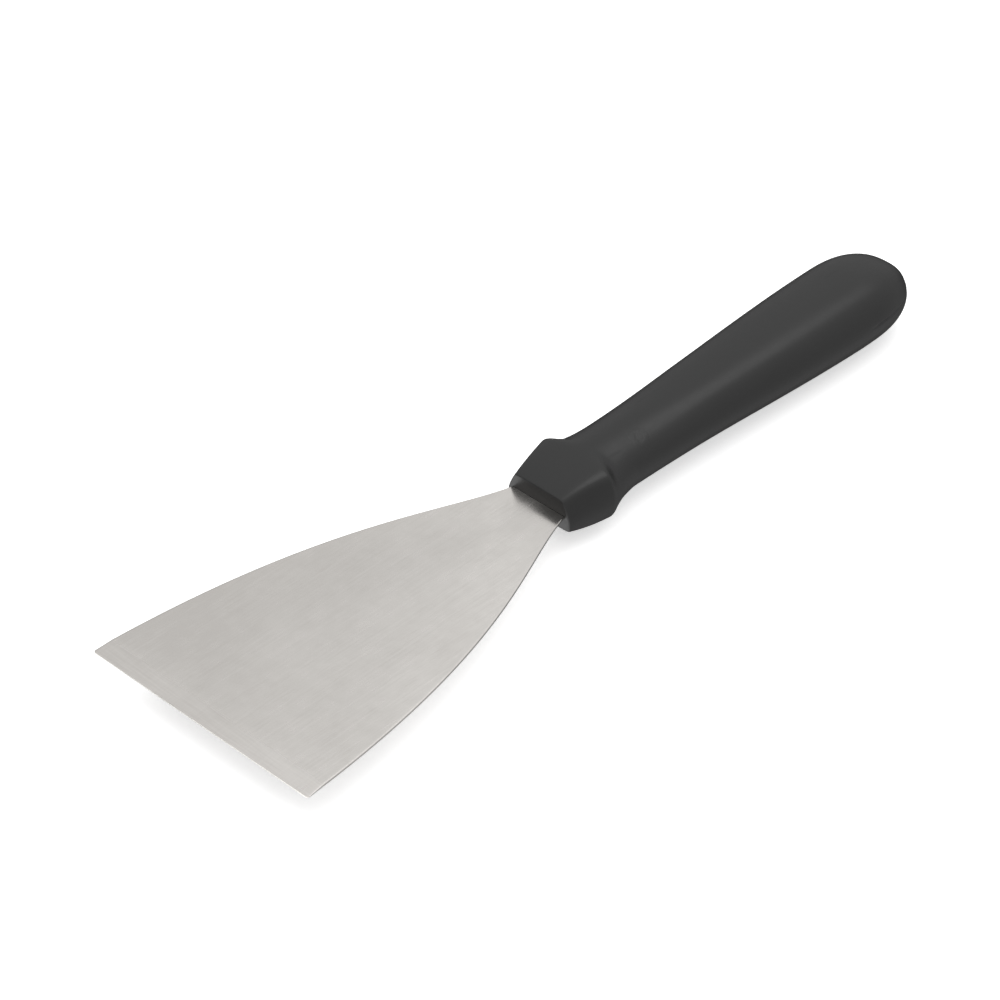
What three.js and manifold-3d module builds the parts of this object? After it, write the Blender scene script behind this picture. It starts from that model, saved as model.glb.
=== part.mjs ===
// Bench scraper: a fan-shaped stainless blade with a black plastic handle moulded round its tang.
// Millimetres. X runs from the straight front edge to the butt, Y across the blade, Z up.
// The origin is under the middle of the whole tool, level with the underside of the handle.

import * as THREE from 'three';
import { mergeVertices } from 'three/addons/utils/BufferGeometryUtils.js';
import Module from 'manifold-3d';

const wasm = await Module();
wasm.setup();

// Blade: one stamped sheet.
const BLADE_WIDTH = 76;
const BLADE_REACH = 116;          // front edge to the face of the handle
const BLADE_THICKNESS = 0.8;
const NECK_WIDTH = 18.2;          // where the blade enters the handle
const SHOULDER_SETBACK = 72;      // the handle of each side's curve at the front edge
const SHOULDER_PULL = 3.9;        // and how far that handle leans in
const NECK_LEAD = 19.5;           // the handle of each side's curve at the neck
const NECK_FLARE = 5.1;           // and how far that handle leans out
const BEVEL_WIDTH = 5.5;          // ground band along the front edge
const EDGE_THICKNESS = 0.35;

// Tang: the hidden end of the sheet.
const TANG_LENGTH = 84;
const TANG_WIDTH = 13;
const TANG_TAPER = 12;            // length over which the neck narrows to the tang
const LOCK_HOLE_RADIUS = 2.6;
const LOCK_HOLE_SETBACKS = [30, 64];

// Handle: one moulding.
const HANDLE_LENGTH = 138;
const MOULD_GAP = 0.3;            // between the steel and the plastic that grips it
const MOUTH_WALL = 1.8;           // plastic beside the blade at the mouth
const FLANK_LEAN = 2.9;           // the face is this much narrower, each side, along its top edge
const FACE_RISE = 4.9;            // the face above the middle of the sheet
const FACE_DROP = 4.2;            // and below it
const FACE_SLOPE = 0.33;          // how steeply the top and the underside spread away from the face
const GUARD_SETBACK = 14.4;       // the guard is the widest line of the bolster
const GUARD_WIDTH = 27.4;
const DENT_LENGTH = 5.6;          // the shoulders dip behind the guard, deepest at this distance
const WAIST_SETBACK = 26;
const WAIST_WIDTH = 21.4;
const WAIST_HEIGHT = 16.6;
const WIDTH_FALL = 1.45;          // the power by which the width falls off behind the guard
const DENT_FALL = 1.4;            // and by which the shoulders dip
const GRIP_SHAPE_SETBACK = 62;    // from here to the butt the section keeps one shape
const BELLY_TO_BUTT = 21;         // the grip is fullest this far ahead of its end
const BELLY_WIDTH = 28.4;
const BELLY_HEIGHT = 21.2;
const BUTT_FULLNESS = 2.2;        // 2 would be an elliptical end, more is fuller

// How finely curves are faceted, and how far a cutting solid runs past what it cuts.
const CURVE_STEPS = 24;
const ROUND_STEPS = 48;
const STEP_LENGTH = 2.4;
const GUARD_STEP_LENGTH = 1.2;    // finer where the guard falls to the waist
const BUTT_STEPS = 10;
const OVERRUN = 1;

function solid(geometry) {
  geometry.deleteAttribute('normal');
  geometry.deleteAttribute('uv');
  const merged = mergeVertices(geometry.index ? geometry.toNonIndexed() : geometry, 1e-4);
  return new wasm.Manifold(new wasm.Mesh({
    numProp: 3,
    vertProperties: Float32Array.from(merged.attributes.position.array),
    triVerts: Uint32Array.from(merged.index.array),
  }));
}

function namedMesh(name, body, color, roughness, metalness) {
  const { vertProperties, triVerts } = body.getMesh();
  const geometry = new THREE.BufferGeometry();
  geometry.setAttribute('position', new THREE.BufferAttribute(vertProperties, 3));
  geometry.setIndex(new THREE.BufferAttribute(triVerts, 1));
  geometry.computeVertexNormals();
  const mesh = new THREE.Mesh(geometry, new THREE.MeshStandardMaterial({ color, roughness, metalness }));
  mesh.name = name;
  return mesh;
}

// A plate of this outline, level about the middle of the sheet.
function plate(shape, thickness) {
  const settings = { depth: thickness, bevelEnabled: false, curveSegments: CURVE_STEPS };
  return solid(new THREE.ExtrudeGeometry(shape, settings).translate(0, 0, -thickness / 2));
}

// ---- Tang -------------------------------------------------------------------------------------

// The tang's outline behind the handle's face, grown by a margin all round. Its round holes shrink
// by the same margin, so the plastic that fills them stands clear of the steel.
function addTang(shape, margin) {
  const halfNeck = NECK_WIDTH / 2 + margin;
  const halfTang = TANG_WIDTH / 2 + margin;
  const centre = BLADE_REACH + TANG_LENGTH - TANG_WIDTH / 2;
  shape.lineTo(BLADE_REACH, -halfNeck);
  shape.lineTo(BLADE_REACH + TANG_TAPER, -halfTang);
  shape.lineTo(centre, -halfTang);
  shape.absarc(centre, 0, halfTang, -Math.PI / 2, Math.PI / 2, false);
  shape.lineTo(BLADE_REACH + TANG_TAPER, halfTang);
  shape.lineTo(BLADE_REACH, halfNeck);
  for (const setback of LOCK_HOLE_SETBACKS) {
    const hole = new THREE.Path();
    hole.absarc(BLADE_REACH + setback, 0, LOCK_HOLE_RADIUS - margin, 0, 2 * Math.PI, true);
    shape.holes.push(hole);
  }
}

// ---- Blade ------------------------------------------------------------------------------------

function bladePlan() {
  const half = BLADE_WIDTH / 2;
  const neck = NECK_WIDTH / 2;
  const shoulder = [SHOULDER_SETBACK, half - SHOULDER_PULL];
  const lead = [BLADE_REACH - NECK_LEAD, neck + NECK_FLARE];
  const plan = new THREE.Shape();
  plan.moveTo(0, -half);
  plan.bezierCurveTo(shoulder[0], -shoulder[1], lead[0], -lead[1], BLADE_REACH, -neck);
  addTang(plan, 0);
  plan.bezierCurveTo(lead[0], lead[1], shoulder[0], shoulder[1], 0, half);
  plan.closePath();
  return plan;
}

// Seen from the side: a flat sheet whose top is ground down to a thin front edge.
function bladeProfile() {
  const half = BLADE_THICKNESS / 2;
  const end = BLADE_REACH + TANG_LENGTH + OVERRUN;
  const profile = new THREE.Shape();
  profile.moveTo(0, -half);
  profile.lineTo(end, -half);
  profile.lineTo(end, half);
  profile.lineTo(BEVEL_WIDTH, half);
  profile.lineTo(0, EDGE_THICKNESS - half);
  profile.closePath();
  return profile;
}

function blade() {
  const reach = BLADE_WIDTH + 2 * OVERRUN;
  const ground = new THREE.ExtrudeGeometry(bladeProfile(), { depth: reach, bevelEnabled: false });
  ground.rotateX(Math.PI / 2).translate(0, reach / 2, 0);
  return plate(bladePlan(), BLADE_THICKNESS + 2 * OVERRUN).intersect(solid(ground));
}

// ---- Handle -----------------------------------------------------------------------------------

const mix = (a, b, t) => a + (b - a) * t;
const ease = (t) => t * t * (3 - 2 * t);

const blend = (a, b, t) => Object.fromEntries(Object.keys(a).map((key) => [key, mix(a[key], b[key], t)]));

// Five stations shape the handle. Each one gives how much of the section's width its flat top and its
// flat underside reach across, how low the widest line lies (0 level with the sheet, -1 at the
// underside), and how crisp the ridges are.
const faceHalf = NECK_WIDTH / 2 + MOUTH_WALL;
const FACE = { at: 0, flat: (faceHalf - FLANK_LEAN) / faceHalf, keel: 0.97, widest: -0.15, crisp: 14 };
const GUARD = { at: GUARD_SETBACK, flat: 0.77, keel: 0.8, widest: -0.25, crisp: 7 };
const DENT = { at: GUARD_SETBACK + DENT_LENGTH, flat: 0.42, keel: 0.5, widest: -0.08, crisp: 2.8 };
const WAIST = { at: WAIST_SETBACK, flat: 0.5, keel: 0.5, widest: -0.08, crisp: 3.5 };
const BELLY = { at: HANDLE_LENGTH - BELLY_TO_BUTT, flat: 0.58, keel: 0.48, widest: -0.08, crisp: 5 };

// How far along the stretch from one station to another a place lies, from 0 to 1.
const share = (setback, from, to) => Math.min(1, Math.max(0, (setback - from) / (to - from)));
const fall = (t, power) => 1 - (1 - t) ** power;

// The section's shape: straight to the guard, a quick fall into the dents, then on to the grip.
function stationAt(setback) {
  if (setback < GUARD.at) return blend(FACE, GUARD, share(setback, FACE.at, GUARD.at));
  if (setback < DENT.at) return blend(GUARD, DENT, fall(share(setback, GUARD.at, DENT.at), DENT_FALL));
  if (setback < WAIST.at) return blend(DENT, WAIST, ease(share(setback, DENT.at, WAIST.at)));
  return blend(WAIST, BELLY, ease(share(setback, WAIST.at, GRIP_SHAPE_SETBACK)));
}

// Half the section's width at its widest line.
function halfAt(setback) {
  if (setback < GUARD.at) return mix(faceHalf, GUARD_WIDTH / 2, share(setback, FACE.at, GUARD.at));
  if (setback < WAIST.at) {
    return mix(GUARD_WIDTH, WAIST_WIDTH, fall(share(setback, GUARD.at, WAIST.at), WIDTH_FALL)) / 2;
  }
  return mix(WAIST_WIDTH, BELLY_WIDTH, ease(share(setback, WAIST.at, BELLY.at))) / 2;
}

// Height of the top, or depth of the underside, from the middle of the sheet, starting at the face.
function riseAt(setback, start) {
  if (setback < WAIST.at) {
    const t = share(setback, FACE.at, WAIST.at);
    return mix(start, WAIST_HEIGHT / 2, ease(t)) + FACE_SLOPE * WAIST.at * t * (1 - t) ** 2;
  }
  return mix(WAIST_HEIGHT, BELLY_HEIGHT, ease(share(setback, WAIST.at, BELLY.at))) / 2;
}

// One ring of the handle: a rounded six-sided section. A flat top, a flat underside and four flanks
// that meet along the widest line each limit the radius, and a high power joins them smoothly.
function ring(setback) {
  const { flat, keel, widest, crisp } = stationAt(setback);
  const half = halfAt(setback);
  const [rise, drop] = [riseAt(setback, FACE_RISE), riseAt(setback, FACE_DROP)];
  const line = widest * drop;
  const flank = (across, up) => {
    const normal = [Math.abs(up - line), Math.sign(up) * (half - across)];
    const reach = normal[0] * half + normal[1] * line;
    return [normal[0] / reach, normal[1] / reach];
  };
  const [upper, lower] = [flank(half * flat, rise), flank(half * keel, -drop)];
  const walls = [[0, 1 / rise], [0, -1 / drop], upper, lower,
    [-upper[0], upper[1]], [-lower[0], lower[1]]];
  const points = [];
  for (let i = 0; i < ROUND_STEPS; i += 1) {
    const turn = (2 * Math.PI * i) / ROUND_STEPS;
    const [c, s] = [half * Math.cos(turn), ((rise + drop) / 2) * Math.sin(turn)];
    const pushes = walls.map(([y, z]) => Math.max(0, y * c + z * s) ** crisp);
    const radius = pushes.reduce((sum, push) => sum + push, 0) ** (-1 / crisp);
    points.push([radius * c, radius * s]);
  }
  const wide = Math.max(...points.map(([y]) => y));
  const high = Math.max(...points.map(([, z]) => z));
  const low = -Math.min(...points.map(([, z]) => z));
  return points.map(([y, z]) => [(y * half) / wide, z * (z > 0 ? rise / high : drop / low)]);
}

// Distances behind the face at which a ring is cut, with how much of its full size is left at each.
function ringPlaces() {
  const marks = [FACE.at, GUARD.at, WAIST.at, BELLY.at];
  const steps = [STEP_LENGTH, GUARD_STEP_LENGTH, STEP_LENGTH];
  const places = [];
  steps.forEach((step, i) => {
    const count = Math.ceil((marks[i + 1] - marks[i]) / step);
    for (let k = 0; k < count; k += 1) places.push([mix(marks[i], marks[i + 1], k / count), 1]);
  });
  for (let k = 0; k < BUTT_STEPS; k += 1) {
    const turn = (Math.PI / 2) * (k / BUTT_STEPS);
    const [back, size] = [Math.sin(turn), Math.cos(turn)].map((part) => part ** (2 / BUTT_FULLNESS));
    places.push([BELLY.at + BELLY_TO_BUTT * back, size]);
  }
  return places;
}

function handleOuter() {
  const positions = [];
  const faces = [];
  const places = ringPlaces();
  for (const [setback, size] of places) {
    for (const [y, z] of ring(setback)) {
      positions.push(BLADE_REACH + setback, y * size, z * size);
    }
  }
  const tip = positions.length / 3;
  positions.push(BLADE_REACH + HANDLE_LENGTH, 0, 0);
  const middle = tip + 1;
  positions.push(BLADE_REACH, 0, 0);
  for (let k = 0; k < ROUND_STEPS; k += 1) {
    const next = (k + 1) % ROUND_STEPS;
    faces.push(middle, next, k);
    for (let row = 0; row < places.length - 1; row += 1) {
      const [a, b] = [row * ROUND_STEPS, (row + 1) * ROUND_STEPS];
      faces.push(a + k, a + next, b + k, a + next, b + next, b + k);
    }
    const end = (places.length - 1) * ROUND_STEPS;
    faces.push(end + k, end + next, tip);
  }
  const geometry = new THREE.BufferGeometry();
  geometry.setAttribute('position', new THREE.Float32BufferAttribute(positions, 3));
  geometry.setIndex(faces);
  return solid(geometry);
}

// The hollow that the tang fills, open at the face. Plastic posts stay where the tang has its holes.
function tangSlot() {
  const plan = new THREE.Shape();
  const mouth = NECK_WIDTH / 2 + MOULD_GAP;
  plan.moveTo(BLADE_REACH - OVERRUN, -mouth);
  addTang(plan, MOULD_GAP);
  plan.lineTo(BLADE_REACH - OVERRUN, mouth);
  plan.closePath();
  return plate(plan, BLADE_THICKNESS + 2 * MOULD_GAP);
}

// ---- Assembly ---------------------------------------------------------------------------------

const scraper = new THREE.Group();
scraper.add(namedMesh('blade', blade(), 0xc9c7c3, 0.32, 1.0));
scraper.add(namedMesh('handle', handleOuter().subtract(tangSlot()), 0x1d1d1e, 0.42, 0.0));
scraper.position.set(-(BLADE_REACH + HANDLE_LENGTH) / 2, 0, BELLY_HEIGHT / 2);

export default scraper;
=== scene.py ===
# Bench scraper: a fan-shaped stainless blade moulded into a black plastic handle, lying on a pale
# table under soft light. Metres; X runs from the front edge to the butt, Y across the blade, Z up.
import math

import bpy
import numpy as np
from mathutils import Matrix, Vector


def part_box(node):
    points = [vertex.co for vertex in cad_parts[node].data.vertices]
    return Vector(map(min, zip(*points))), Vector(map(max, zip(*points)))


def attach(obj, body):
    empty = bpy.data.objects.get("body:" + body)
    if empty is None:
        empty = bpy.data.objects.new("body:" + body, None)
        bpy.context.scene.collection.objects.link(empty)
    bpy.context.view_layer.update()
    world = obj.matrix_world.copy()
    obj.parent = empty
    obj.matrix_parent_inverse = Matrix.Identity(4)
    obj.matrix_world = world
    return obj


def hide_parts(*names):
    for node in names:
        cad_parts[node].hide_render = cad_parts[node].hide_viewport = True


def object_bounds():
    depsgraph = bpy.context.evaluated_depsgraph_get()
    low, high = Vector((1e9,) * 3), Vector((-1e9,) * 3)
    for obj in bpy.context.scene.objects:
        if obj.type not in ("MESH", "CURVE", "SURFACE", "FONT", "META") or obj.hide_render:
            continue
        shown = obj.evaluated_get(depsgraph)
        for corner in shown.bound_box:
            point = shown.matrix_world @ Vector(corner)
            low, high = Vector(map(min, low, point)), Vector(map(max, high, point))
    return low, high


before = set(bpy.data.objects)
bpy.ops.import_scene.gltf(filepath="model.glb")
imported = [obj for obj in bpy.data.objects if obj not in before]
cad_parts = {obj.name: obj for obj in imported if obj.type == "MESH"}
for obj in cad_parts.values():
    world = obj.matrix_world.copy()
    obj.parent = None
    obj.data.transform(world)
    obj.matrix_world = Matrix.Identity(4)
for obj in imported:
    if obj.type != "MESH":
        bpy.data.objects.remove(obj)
cad_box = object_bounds()


# ---- Blade sheet -------------------------------------------------------------------------------
# One sheet of stainless steel, stamped to a fan with a tang, belt-finished along its length, then
# ground on top along the straight front edge. The tang runs on inside the handle, which holds it.

MM = 0.001
blade_low, blade_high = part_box("blade")
handle_low, handle_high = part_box("handle")
front_x, tang_end_x = blade_low.x, blade_high.x
face_x, butt_x = handle_low.x, handle_high.x
middle_z = (blade_low.z + blade_high.z) / 2
sheet_half = (blade_high.z - blade_low.z) / 2
edge_half = (blade_high.y - blade_low.y) / 2
reach = face_x - front_x

NECK_HALF = 9.1 * MM
SHOULDER = (72 * MM, 3.9 * MM)      # each side's curve leaves the front edge towards this point
LEAD = (19.5 * MM, 5.1 * MM)        # and comes in to the neck from this one
CORNER_RADIUS = 0.7 * MM
BURNISH = 0.16 * MM                 # the stamped edge is rubbed round by this much
BEVEL_WIDTH = 5.6 * MM
EDGE_THICKNESS = 0.35 * MM
TANG_HALF = 6.5 * MM
TANG_TAPER = 12 * MM
LOCK_HOLES = (30 * MM, 64 * MM)
LOCK_HOLE_RADIUS = 2.6 * MM
ACROSS = 130                        # faces across the sheet
EDGE_TURNS = np.radians((0, 22.5, 45, 67.5, 90))
NICK_COUNT = 14
NICK_FADE = 0.5 * MM                # a nick is gone this far behind the front edge
TANG_TIP_HALF = 0.2 * MM


def loft(name, rings):
    """A closed mesh through rings of equal length, each one joined to the next."""
    count = len(rings[0])
    verts = [tuple(p) for ring in rings for p in ring]
    faces = []
    for row in range(len(rings) - 1):
        a, b = row * count, (row + 1) * count
        for k in range(count):
            n = (k + 1) % count
            faces.append((a + k, a + n, b + n, b + k))
    faces.append(tuple(range(count - 1, -1, -1)))
    last = (len(rings) - 1) * count
    faces.append(tuple(range(last, last + count)))
    mesh = bpy.data.meshes.new(name)
    mesh.from_pydata(verts, [], faces)
    mesh.validate()
    piece = bpy.data.objects.new(name, mesh)
    bpy.context.scene.collection.objects.link(piece)
    return piece


def side_curve(t):
    """The side of the fan: distance behind the front edge and half width, along one smooth curve."""
    points = np.array([
        (0, edge_half),
        (SHOULDER[0], edge_half - SHOULDER[1]),
        (reach - LEAD[0], NECK_HALF + LEAD[1]),
        (reach, NECK_HALF),
    ])
    weights = np.array([(1 - t) ** 3, 3 * t * (1 - t) ** 2, 3 * t * t * (1 - t), t ** 3])
    return weights @ points


def sheet_outline():
    """Stations along the sheet: distance behind the front edge, and half width there."""
    stations = []
    for turn in np.linspace(0, math.pi / 2, 7):
        back = CORNER_RADIUS * (1 - math.cos(turn))
        stations.append((back, edge_half - CORNER_RADIUS * (1 - math.sin(turn))))
    stations += [tuple(side_curve(t)) for t in np.linspace(0.012, 1, 130)]
    stations += [(reach + TANG_TAPER * s, NECK_HALF + (TANG_HALF - NECK_HALF) * s)
                 for s in np.linspace(0.1, 1, 8)]
    tang_end = tang_end_x - front_x
    for turn in np.linspace(0, math.pi / 2, 14)[:-1]:
        stations.append((tang_end - TANG_HALF * (1 - math.sin(turn)), TANG_HALF * math.cos(turn)))
    stations.append((tang_end, TANG_TIP_HALF))
    return stations


def sheet_ring(back, half, edge_nicks):
    """One section of the sheet with rubbed edges. The front edge carries a few fine nicks."""
    ground = min(1.0, back / BEVEL_WIDTH)
    top = middle_z - sheet_half + EDGE_THICKNESS + (2 * sheet_half - EDGE_THICKNESS) * ground
    bottom = middle_z - sheet_half
    round_by = min(BURNISH, half * 0.9, (top - bottom) * 0.45)
    flat = half - round_by
    points = [(y, top) for y in np.linspace(flat, -flat, ACROSS + 1)]
    for turn in EDGE_TURNS[1:]:
        points.append((-flat - round_by * math.sin(turn), top - round_by * (1 - math.cos(turn))))
    for turn in EDGE_TURNS[:-1]:
        points.append((-flat - round_by * math.cos(turn), bottom + round_by * (1 - math.sin(turn))))
    points += [(y, bottom) for y in np.linspace(-flat, flat, ACROSS + 1)]
    for turn in EDGE_TURNS[1:]:
        points.append((flat + round_by * math.sin(turn), bottom + round_by * (1 - math.cos(turn))))
    for turn in EDGE_TURNS[:-1]:
        points.append((flat + round_by * math.cos(turn), top - round_by * (1 - math.sin(turn))))
    fade = max(0.0, 1 - back / NICK_FADE)
    ring = []
    for y, z in points:
        nick = sum(depth * math.exp(-((y - at) / wide) ** 2) for at, wide, depth in edge_nicks)
        ring.append((front_x + back + nick * fade, y, z))
    return ring


nick_random = np.random.default_rng(7)
nicks = [(nick_random.uniform(-edge_half, edge_half), nick_random.uniform(0.3, 1.1) * MM,
          nick_random.uniform(0.01, 0.05) * MM) for _ in range(NICK_COUNT)]
blade = loft("blade_sheet", [sheet_ring(b, h, nicks) for b, h in sheet_outline()])


def cut(piece, tool):
    """Takes the tool's solid out of the piece and removes the tool."""
    step = piece.modifiers.new("cut", "BOOLEAN")
    step.operation = "DIFFERENCE"
    step.solver = "EXACT"
    step.object = tool
    graph = bpy.context.evaluated_depsgraph_get()
    made = bpy.data.meshes.new_from_object(piece.evaluated_get(graph))
    piece.modifiers.clear()
    piece.data = made
    bpy.data.objects.remove(tool)


def round_bar(x, radius, half_length):
    """An upright bar through the sheet's plane."""
    rings = []
    for z in (middle_z - half_length, middle_z + half_length):
        rings.append([(x + radius * math.cos(a), radius * math.sin(a), z)
                      for a in np.linspace(0, 2 * math.pi, 32, endpoint=False)])
    return loft("bar", rings)


for setback in LOCK_HOLES:
    cut(blade, round_bar(face_x + setback, LOCK_HOLE_RADIUS, 2 * sheet_half))


def grain_along_x(piece):
    """A flat map from above, so that the brushed shine follows the belt's direction."""
    layer = piece.data.uv_layers.new(name="Grain")
    for loop in piece.data.loops:
        x, y, _ = piece.data.vertices[loop.vertex_index].co
        layer.data[loop.index].uv = ((x - front_x) * 4, y * 4 + 0.5)


def shade(piece, angle):
    piece.data.shade_smooth()
    bpy.context.view_layer.objects.active = piece
    piece.select_set(True)
    bpy.ops.object.shade_smooth_by_angle(angle=math.radians(angle))
    piece.select_set(False)


grain_along_x(blade)
shade(blade, 25)


COLOUR_A, COLOUR_B, MIXED_COLOUR = 6, 7, 2      # a Mix node's colour sockets, in its own order


class Value:
    """A socket in a material. Sums and products of values add the nodes that work them out."""

    def __init__(self, nodes, socket):
        self.nodes = nodes
        self.socket = socket

    def _math(self, operation, *values):
        return self.nodes.add("ShaderNodeMath", {"operation": operation}, dict(enumerate(values)))

    def __add__(self, other):
        return self._math("ADD", self, other)

    def __sub__(self, other):
        return self._math("SUBTRACT", self, other)

    def __rsub__(self, other):
        return self._math("SUBTRACT", other, self)

    def __mul__(self, other):
        return self._math("MULTIPLY", self, other)

    __radd__ = __add__
    __rmul__ = __mul__

    def clamp(self):
        made = self._math("ADD", self, 0.0)
        made.socket.node.use_clamp = True
        return made

    def above(self, low, high):
        """0 below low, 1 above high, smooth between."""
        return self.nodes.add("ShaderNodeMapRange", {"interpolation_type": "SMOOTHSTEP"},
                              {"Value": self, "From Min": low, "From Max": high})


class Nodes:
    """The nodes of one material, or of the room, and the one shader they feed."""

    def __init__(self, tree, shader):
        self.tree = tree
        self.shader = tree.nodes[shader]

    def add(self, kind, settings, sockets, output=0):
        node = self.tree.nodes.new(kind)
        for name, value in settings.items():
            setattr(node, name, value)
        for name, value in sockets.items():
            if isinstance(value, Value):
                self.tree.links.new(value.socket, node.inputs[name])
            else:
                node.inputs[name].default_value = value
        return Value(self, node.outputs[output])

    def feed(self, socket, value):
        self.tree.links.new(value.socket, self.shader.inputs[socket])

    def axes(self, place):
        split = self.add("ShaderNodeSeparateXYZ", {}, {"Vector": place})
        return [Value(self, split.socket.node.outputs[i]) for i in range(3)]


class Finish(Nodes):
    """A material, with what stays the same all over it set on its shader."""

    def __init__(self, name, **fixed):
        self.material = bpy.data.materials.new(name)
        self.material.use_nodes = True
        super().__init__(self.material.node_tree, "Principled BSDF")
        for socket, value in fixed.items():
            self.shader.inputs[socket.replace("_", " ")].default_value = value

    def place(self):
        """The point on the piece, in metres, in the tool's own frame."""
        return self.add("ShaderNodeTexCoord", {}, {}, "Object")

    def stretched(self, place, x, y, z):
        return self.add("ShaderNodeVectorMath", {"operation": "MULTIPLY"}, {0: place, 1: (x, y, z)})

    def noise(self, place, scale, detail=2.0, rough=0.5, seed=0.0):
        moved = self.add("ShaderNodeVectorMath", {"operation": "ADD"},
                         {0: place, 1: (seed, seed * 0.7, seed * 0.3)})
        return self.add("ShaderNodeTexNoise", {}, {
            "Vector": moved, "Scale": scale, "Detail": detail, "Roughness": rough})

    def blend(self, factor, first, second):
        """A colour between two."""
        return self.add("ShaderNodeMix", {"data_type": "RGBA"}, {
            "Factor": factor, COLOUR_A: (*first, 1), COLOUR_B: (*second, 1)}, MIXED_COLOUR)

    def bump(self, height, strength, distance, under=None):
        sockets = {"Height": height, "Strength": strength, "Distance": distance}
        if under:
            sockets["Normal"] = under
        return self.add("ShaderNodeBump", {}, sockets)


# Belt-finished stainless: long fine scratches along the tool, cloudy tone, and a band along the
# front edge where the grindstone has cut across the belt marks.
STEEL_DARK, STEEL_BRIGHT = (0.54, 0.519, 0.494), (0.725, 0.703, 0.676)
BELT_GRAIN, HAIR_GRAIN, STONE_GRAIN = (70, 1500, 0), (30, 2600, 0), (2200, 120, 0)
# Where the painted shade towards the far corner begins, and where it is full.
FALLOFF_SHADE_FROM, FALLOFF_SHADE_FULL = -10 * MM, 90 * MM
SCRATCH_DEPTH = 0.02 * MM
steel = Finish("belt_finished_steel", Metallic=1.0, Anisotropic=0.7, Anisotropic_Rotation=0.25)
spot = steel.place()
sx, sy, _ = steel.axes(spot)
streaks = steel.noise(steel.stretched(spot, *BELT_GRAIN), 1.0, 2.0, 0.5)
hairs = steel.noise(steel.stretched(spot, *HAIR_GRAIN), 1.0, 1.0, 0.5, 3.1)
cloud = steel.noise(spot, 38, 3.0, 0.55, 1.7)
mottle = steel.noise(spot, 260, 3.0, 0.6, 5.3)
stone = steel.noise(steel.stretched(spot, *STONE_GRAIN), 1.0, 1.0, 0.5, 2.2)
wander = steel.noise(steel.stretched(spot, 0, 90, 0), 1.0, 2.0, 0.5)
bevel = 1 - (sx + (wander - 0.5) * 0.7 * MM).above(front_x + BEVEL_WIDTH - 0.3 * MM,
                                                     front_x + BEVEL_WIDTH + 0.2 * MM)
# Painted shade: the tone is painted darker towards one far corner, where the light falls off across the
# sheet.
painted_falloff_shade = (sy - sx * 0.5).above(FALLOFF_SHADE_FROM, FALLOFF_SHADE_FULL)
tone = 0.5 + (streaks - 0.5) * 0.36 + (cloud - 0.5) * 0.5 + (mottle - 0.5) * 0.4
tone = tone + (hairs - 0.5) * 0.12 - painted_falloff_shade * 0.42
ground_tone = 0.56 + (stone - 0.5) * 0.5 + (streaks - 0.5) * 0.3
# The ground band is painted darker towards the same corner, the same painted shade.
ground_tone = ground_tone + (cloud - 0.5) * 0.6 - painted_falloff_shade * 0.5
shown_tone = tone + (ground_tone - tone) * bevel
steel.feed("Base Color", steel.blend(shown_tone.clamp(), STEEL_DARK, STEEL_BRIGHT))
satin = 0.25 + (streaks - 0.5) * 0.08 + (mottle - 0.5) * 0.10 + bevel * 0.05
steel.feed("Roughness", satin.clamp())
scratched = streaks * 0.6 + hairs * 0.4
relief = scratched + (stone - scratched) * bevel
steel.feed("Normal", steel.bump(relief, 0.05, SCRATCH_DEPTH))
blade.data.materials.append(steel.material)
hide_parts("blade")
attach(blade, "root")


# ---- Handle ------------------------------------------------------------------------------------
# One injection moulding of black polypropylene, shot round the tang: a faceted bolster with a flat
# mouth, a narrow waist, and a grip with soft shoulders. The mould halves meet just above the sheet.

FACE = dict(at=0, half=10.9 * MM, flat=0.73, keel=0.97, widest=-0.15, crisp=14)
GUARD = dict(at=14.4 * MM, half=13.7 * MM, flat=0.77, keel=0.8, widest=-0.25, crisp=7)
DENT = dict(at=20.0 * MM, flat=0.42, keel=0.5, widest=-0.08, crisp=2.8)
WAIST = dict(at=26 * MM, half=10.7 * MM, flat=0.5, keel=0.5, widest=-0.08, crisp=3.5)
FALL = 1.45                         # the width falls off behind the guard by this power
DENT_FALL = 1.4                     # and the shoulders, sooner, by this one
GRIP_SHAPE_BY = 62 * MM
BELLY_TO_BUTT = 21 * MM
BELLY_AT = butt_x - face_x - BELLY_TO_BUTT
BELLY = dict(at=BELLY_AT, half=14.2 * MM, flat=0.58, keel=0.48, widest=-0.08, crisp=5)
FACE_RISE, FACE_DROP = 4.9 * MM, 4.2 * MM
FACE_SLOPE = 0.33
WAIST_RISE = 8.3 * MM
BELLY_RISE = 10.6 * MM
RIDGE_ROUND = 0.7 * MM
LIP_RADIUS = 0.35 * MM
BUTT_FULLNESS = 2.2                 # 2 would be an elliptical end, more is fuller
SEAM_HEIGHT = 1.5 * MM              # the mould halves meet this far above the sheet
SEAM_FROM = 112 * MM                # the join shows only round the butt, growing from here
SEAM_FULL = 120 * MM
SEAM_STEP = 0.1 * MM
SEAM_GROOVE = 0.4 * MM
SEAM_WIDTH = 0.5 * MM
SLOT_ROOM = 0.08 * MM               # between the steel and the plastic
SLOT_OVERRUN = 2 * MM
GATE = (31 * MM, -6 * MM)           # the plastic was shot in here: behind the face, and to one side


def mixed(a, b, t):
    """A section between two, in every measure that both of them state."""
    return {key: a[key] + (b[key] - a[key]) * t for key in a if key in b}


def ease(t):
    return t * t * (3 - 2 * t)


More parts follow.
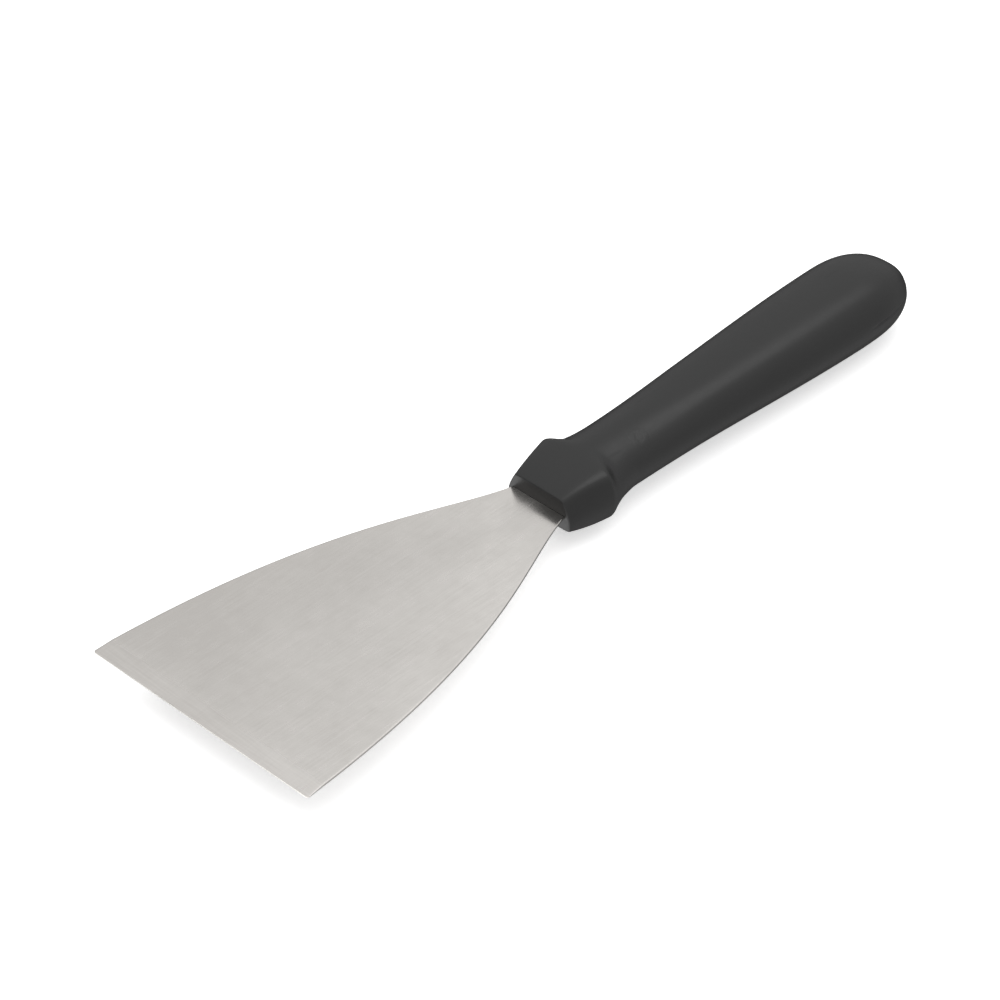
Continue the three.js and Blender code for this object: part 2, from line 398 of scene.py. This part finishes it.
def station_at(setback):
    """The section's shape: straight sides out to the guard, a sharp fall to the waist, then the grip."""
    if setback < GUARD["at"]:
        return mixed(FACE, GUARD, setback / GUARD["at"])
    if setback < WAIST["at"]:
        if setback < DENT["at"]:
            t = (setback - GUARD["at"]) / (DENT["at"] - GUARD["at"])
            station = mixed(GUARD, DENT, 1 - (1 - t) ** DENT_FALL)
        else:
            station = mixed(DENT, WAIST, ease((setback - DENT["at"]) / (WAIST["at"] - DENT["at"])))
        fallen = 1 - (1 - (setback - GUARD["at"]) / (WAIST["at"] - GUARD["at"])) ** FALL
        station["half"] = GUARD["half"] + (WAIST["half"] - GUARD["half"]) * fallen
        return station
    shape = ease(min(1, (setback - WAIST["at"]) / (GRIP_SHAPE_BY - WAIST["at"])))
    width = ease(min(1, (setback - WAIST["at"]) / (BELLY["at"] - WAIST["at"])))
    station = mixed(WAIST, BELLY, shape)
    station["half"] = WAIST["half"] + (BELLY["half"] - WAIST["half"]) * width
    return station


def rise_at(setback, start):
    """Height of the top, or depth of the underside, above the sheet: one smooth line with no break."""
    if setback < WAIST["at"]:
        t = setback / WAIST["at"]
        grown = FACE_SLOPE * WAIST["at"] * t * (1 - t) ** 2
        return start + (WAIST_RISE - start) * ease(t) + grown
    t = min(1, (setback - WAIST["at"]) / (BELLY["at"] - WAIST["at"]))
    return WAIST_RISE + (BELLY_RISE - WAIST_RISE) * ease(t)


def turns():
    """Angles round the handle, closer together at the two sides."""
    fine = [0.0]
    for step in (0.5, 1.0, 1.6, 2.4, 3.5, 5.0):
        fine += [step, -step]
    even = [a for a in np.arange(0, 360, 2.5) if min(a % 180, 180 - a % 180) > 6]
    return np.radians(sorted({round(a % 360, 3) for a in fine + [a + 180 for a in fine] + even}))


TURNS = turns()


def turned_to(seam):
    """The same angles, shifted so that the close ones lie along the join at this angle."""
    upper = seam + (math.pi - 2 * seam) * TURNS / math.pi
    lower = math.pi - seam + (math.pi + 2 * seam) * (TURNS - math.pi) / math.pi
    return np.where(TURNS < math.pi, upper, lower)


def section(setback, around):
    """A rounded six-sided section: top, underside and four flanks limit the radius together."""
    station = station_at(setback)
    half, rise, drop = station["half"], rise_at(setback, FACE_RISE), rise_at(setback, FACE_DROP)
    line = station["widest"] * drop

    def flank(across, up):
        normal = np.array((abs(up - line), math.copysign(half - across, up)))
        return normal / (normal @ (half, line))

    upper = flank(half * station["flat"], rise)
    lower = flank(half * station["keel"], -drop)
    walls = np.array([(0, 1 / rise), (0, -1 / drop), upper, lower,
                      (-upper[0], upper[1]), (-lower[0], lower[1])])
    rays = np.stack([half * np.cos(around), (rise + drop) / 2 * np.sin(around)])
    pushes = np.maximum(0, walls @ rays) ** station["crisp"]
    points = rays * pushes.sum(0) ** (-1 / station["crisp"])
    y = points[0] * half / points[0].max()
    z = np.where(points[1] > 0, points[1] * rise / points[1].max(), points[1] * drop / -points[1].min())
    return y, z


def softened(setback, around):
    """The section, evened out along the handle so that no ridge is sharper than the mould's radius."""
    spread = min(RIDGE_ROUND, setback / 2)
    near = [section(min(setback + step * spread, BELLY_AT), around) for step in (-1, -0.5, 0, 0.5, 1)]
    return sum(y for y, _ in near) / len(near), sum(z for _, z in near) / len(near)


def handle_ring(setback, share, inset):
    """One ring of the handle, with the step and groove of the parting line cut in."""
    strength = ease(min(1, max(0, (setback - SEAM_FROM) / (SEAM_FULL - SEAM_FROM))))
    height = SEAM_HEIGHT * strength
    around = turned_to(math.asin(min(0.98, height / (BELLY_RISE * share))))
    y, z = softened(setback, around)
    y, z = y * share, z * share
    size = np.hypot(y, z) + 1e-9
    under = (z - SEAM_HEIGHT) / SEAM_WIDTH
    sunk = SEAM_STEP * np.clip(0.5 - under, 0, 1) + SEAM_GROOVE * np.exp(-((under + 0.4) ** 2) * 5)
    sunk = sunk * strength * np.minimum(1, size / (2 * MM)) + inset
    y, z = y * (1 - sunk / size), z * (1 - sunk / size)
    return [(face_x + setback, a, middle_z + b) for a, b in zip(y, z)]


def handle_rings():
    rings = []
    for turn in np.linspace(0, math.pi / 2, 5)[:-1]:
        rings.append(handle_ring(LIP_RADIUS * (1 - math.cos(turn)), 1, LIP_RADIUS * (1 - math.sin(turn))))
    marks = [LIP_RADIUS, GUARD["at"] - 1.5 * MM, WAIST["at"] + 1 * MM, BELLY["at"]]
    for (start, stop), count in zip(zip(marks, marks[1:]), (24, 40, 110)):
        rings += [handle_ring(s, 1, 0) for s in np.linspace(start, stop, count, endpoint=False)]
    for turn in np.linspace(0, math.pi / 2, 60)[:-1]:
        back, share = math.sin(turn) ** (2 / BUTT_FULLNESS), math.cos(turn) ** (2 / BUTT_FULLNESS)
        rings.append(handle_ring(BELLY["at"] + BELLY_TO_BUTT * back, share, 0))
    rings.append(handle_ring(butt_x - face_x, 0.004, 0))
    return rings


def tang_slot():
    """The hollow that the tang fills, less the two posts that stand in its holes."""
    neck, tang = NECK_HALF + SLOT_ROOM, TANG_HALF + SLOT_ROOM
    round_end = tang_end_x - TANG_HALF
    side = [(face_x - SLOT_OVERRUN, neck), (face_x, neck), (face_x + TANG_TAPER, tang)]
    plan = [(x, -y) for x, y in side]
    plan += [(round_end + tang * math.cos(a), tang * math.sin(a))
             for a in np.linspace(-math.pi / 2, math.pi / 2, 28)]
    plan += side[::-1]
    half = sheet_half + SLOT_ROOM
    slot = loft("slot", [[(x, y, middle_z + z) for x, y in plan] for z in (-half, half)])
    for setback in LOCK_HOLES:
        cut(slot, round_bar(face_x + setback, LOCK_HOLE_RADIUS - SLOT_ROOM, 2 * half))
    return slot


handle = loft("moulded_handle", handle_rings())
cut(handle, tang_slot())
shade(handle, 40)

PLASTIC_DARK, PLASTIC_LIGHT = (0.004, 0.004, 0.004), (0.007, 0.007, 0.007)
PEEL_DEPTH, GATE_DEPTH, SKIN_DEPTH = 0.1 * MM, 0.06 * MM, 0.03 * MM
plastic = Finish("black_moulding", IOR=1.47)
spot = plastic.place()
haze = plastic.noise(spot, 55, 3.0, 0.55)
skin = plastic.noise(spot, 900, 3.0, 0.6, 2.0)
peel = plastic.noise(spot, 210, 2.0, 0.5, 4.0)
gate = plastic.add("ShaderNodeVectorMath", {"operation": "DISTANCE"}, {
    0: plastic.stretched(spot, 1, 1, 0), 1: (face_x + GATE[0], GATE[1], 0)}, "Value")
gate = gate + (skin - 0.5) * 1.6 * MM
swirl = gate.above(0.9 * MM, 1.6 * MM) * (1 - gate.above(1.9 * MM, 3 * MM))
plastic.feed("Base Color", plastic.blend(haze, PLASTIC_DARK, PLASTIC_LIGHT))
rubbed = plastic.noise(plastic.stretched(spot, 60, 420, 420), 1.0, 3.0, 0.6, 6.0).above(0.66, 0.74)
plastic.feed("Roughness", (0.36 + (haze - 0.5) * 0.18 + (skin - 0.5) * 0.12 + rubbed * 0.1).clamp())
moulded = plastic.bump(peel, 0.3, PEEL_DEPTH, plastic.bump(swirl, 0.5, GATE_DEPTH))
plastic.feed("Normal", plastic.bump(skin, 0.25, SKIN_DEPTH, moulded))
handle.data.materials.append(plastic.material)
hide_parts("handle")
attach(handle, "root")


# ---- Table, light and camera -------------------------------------------------------------------
# A pale table top, a soft light overhead, a second one that lights the table from the far side, and
# a white room whose brightness changes with direction. The table is kept out of reflections.

TABLE_HALF = 3.0
table_mesh = bpy.data.meshes.new("table_top")
corners = [(x * TABLE_HALF, y * TABLE_HALF) for x, y in ((-1, -1), (1, -1), (1, 1), (-1, 1))]
table_mesh.from_pydata([(x, y, cad_box[0][2]) for x, y in corners], [], [(0, 1, 2, 3)])
table = bpy.data.objects.new("table_top", table_mesh)
bpy.context.scene.collection.objects.link(table)
paper = Finish("pale_table", Roughness=0.9, Emission_Color=(1, 1, 1, 1), Emission_Strength=0.5)
grain = paper.noise(paper.place(), 40, 2.0)
paper.feed("Base Color", paper.blend(grain, (0.83, 0.83, 0.83), (0.85, 0.85, 0.85)))
table_mesh.materials.append(paper.material)
table.visible_glossy = False        # the tool's shine shows the dim room, not the lit table

# A white room, bright at the ceiling and dim at the walls. Low down it is brightest in front of the
# blade's edge and dark towards the far side.
NEAR_WALL, FAR_WALL, CEILING_LIGHT = 0.72, 0.42, 1.22
FRONT_BELOW, NEAR_BELOW, FAR_BELOW = 2.0, 0.72, 0.08
world = bpy.data.worlds.new("white_room")
bpy.context.scene.world = world
world.use_nodes = True
room = Nodes(world.node_tree, "Background")
along, across, height = room.axes(room.add("ShaderNodeTexCoord", {}, {}, "Generated"))
far = across.above(-0.75, 0.3)
low = 1 - height.above(-0.25, 0.05)
wall = NEAR_WALL + (FAR_WALL - NEAR_WALL) * far
upper_light = wall + (CEILING_LIGHT - wall) * height.clamp()
side_light = NEAR_BELOW + (FAR_BELOW - NEAR_BELOW) * far
lower_light = FRONT_BELOW + (side_light - FRONT_BELOW) * along.above(-0.5, 0.0)
room.feed("Strength", upper_light + (lower_light - upper_light) * low)
room.shader.inputs["Color"].default_value = (1, 1, 1, 1)


def soft_light(name, place, size, power):
    """A round soft light aimed at the tool."""
    lamp = bpy.data.lights.new(name, "AREA")
    lamp.shape = "DISK"
    lamp.size = size
    lamp.energy = power
    holder = bpy.data.objects.new(name, lamp)
    holder.location = place
    holder.rotation_euler = holder.location.to_track_quat("Z", "Y").to_euler()
    bpy.context.scene.collection.objects.link(holder)
    return holder


soft_light("overhead_light", place=(0.46, -0.2, 1.2), size=0.95, power=2.4)
fill = soft_light("table_light", place=(-0.2, 1.3, 1.1), size=1.1, power=13)
fill.visible_glossy = False

AZIMUTH, ELEVATION, ROLL = np.radians((-44.68, 38.37, -1.16))
DISTANCE = 0.94994
SENSOR_WIDTH, FOCAL_LENGTH = 36, 144               # millimetres, as the camera takes them
AIM_RIGHT, AIM_UP = 71.73 * MM, 52.89 * MM      # from the middle of the front edge to the aim point
back = Vector((math.sin(AZIMUTH) * math.cos(ELEVATION), -math.cos(AZIMUTH) * math.cos(ELEVATION),
               math.sin(ELEVATION)))
level = Vector((math.cos(AZIMUTH), math.sin(AZIMUTH), 0))
upright = back.cross(level)
right = level * math.cos(ROLL) + upright * math.sin(ROLL)
up = upright * math.cos(ROLL) - level * math.sin(ROLL)
eye = Vector((front_x, 0, middle_z)) + right * AIM_RIGHT + up * AIM_UP + back * DISTANCE
lens = bpy.data.cameras.new("camera")
lens.sensor_width = SENSOR_WIDTH
lens.lens = FOCAL_LENGTH
camera = bpy.data.objects.new("camera", lens)
camera.matrix_world = Matrix((
    (right.x, up.x, back.x, eye.x), (right.y, up.y, back.y, eye.y),
    (right.z, up.z, back.z, eye.z), (0, 0, 0, 1)))
bpy.context.scene.collection.objects.link(camera)
bpy.context.scene.camera = camera
bpy.context.scene.view_settings.view_transform = "Standard"
